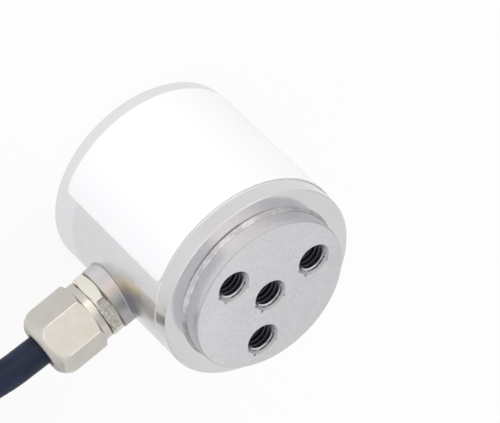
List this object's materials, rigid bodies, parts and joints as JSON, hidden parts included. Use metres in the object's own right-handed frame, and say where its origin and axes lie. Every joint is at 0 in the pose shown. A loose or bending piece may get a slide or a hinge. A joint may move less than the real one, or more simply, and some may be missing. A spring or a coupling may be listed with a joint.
{
  "type": "miniature load cell",
  "caption": "Miniature column load cell: round steel body with tapped holes in its raised load face and flat base, blank wrap label, side cable gland and thin signal cable with bare leads.",
  "frame": {"origin": "centre of the flat base, in the mouth of its central tapped hole", "axes": "+Z along the load axis towards the raised load face, -X along the gland's axis towards the cable"},
  "size_m": [0.1096, 0.0397, 0.02],
  "materials": {
    "spring_steel": "finely turned stainless steel",
    "housing_steel": "drawn stainless tube, satin",
    "cover_steel": "bright turned stainless steel",
    "label_white": "white film label, satin",
    "gland_nickel": "nickel-plated brass, satin",
    "seal_rubber": "black nitrile rubber",
    "washer_brass": "plain brass",
    "gauge_foil": "amber film with metal foil",
    "board_green": "green glass-fibre board",
    "chip_black": "ceramic chip",
    "cable_jacket": "blue-black smooth plastic jacket",
    "tie_black": "black plastic",
    "core_red": "red insulation",
    "core_black": "black insulation",
    "core_green": "green insulation",
    "core_white": "white insulation",
    "tinned_copper": "tinned copper strands"
  },
  "bodies": {
    "root": {"spring_element": "spring_steel", "housing_sleeve": "housing_steel", "cover_ring": "cover_steel", "label": "label_white", "gland_nipple": "housing_steel", "gland_body": "gland_nickel", "gland_nut": "gland_nickel", "gland_gasket": "seal_rubber", "seal_bush": "seal_rubber", "thrust_washer": "washer_brass", "strain_gauge_right": "gauge_foil", "strain_gauge_rear": "gauge_foil", "strain_gauge_left": "gauge_foil", "strain_gauge_front": "gauge_foil", "terminal_board": "board_green", "zero_trim_resistor": "chip_black", "span_trim_resistor": "chip_black", "temperature_resistor": "chip_black", "cable": "cable_jacket", "cable_hank": "cable_jacket", "cable_tail": "cable_jacket", "cable_tie": "tie_black", "core_red": "core_red", "lead_red": "core_red", "lead_tip_red": "tinned_copper", "core_black": "core_black", "lead_black": "core_black", "lead_tip_black": "tinned_copper", "core_green": "core_green", "lead_green": "core_green", "lead_tip_green": "tinned_copper", "core_white": "core_white", "lead_white": "core_white", "lead_tip_white": "tinned_copper"}
  },
  "joints": []
}
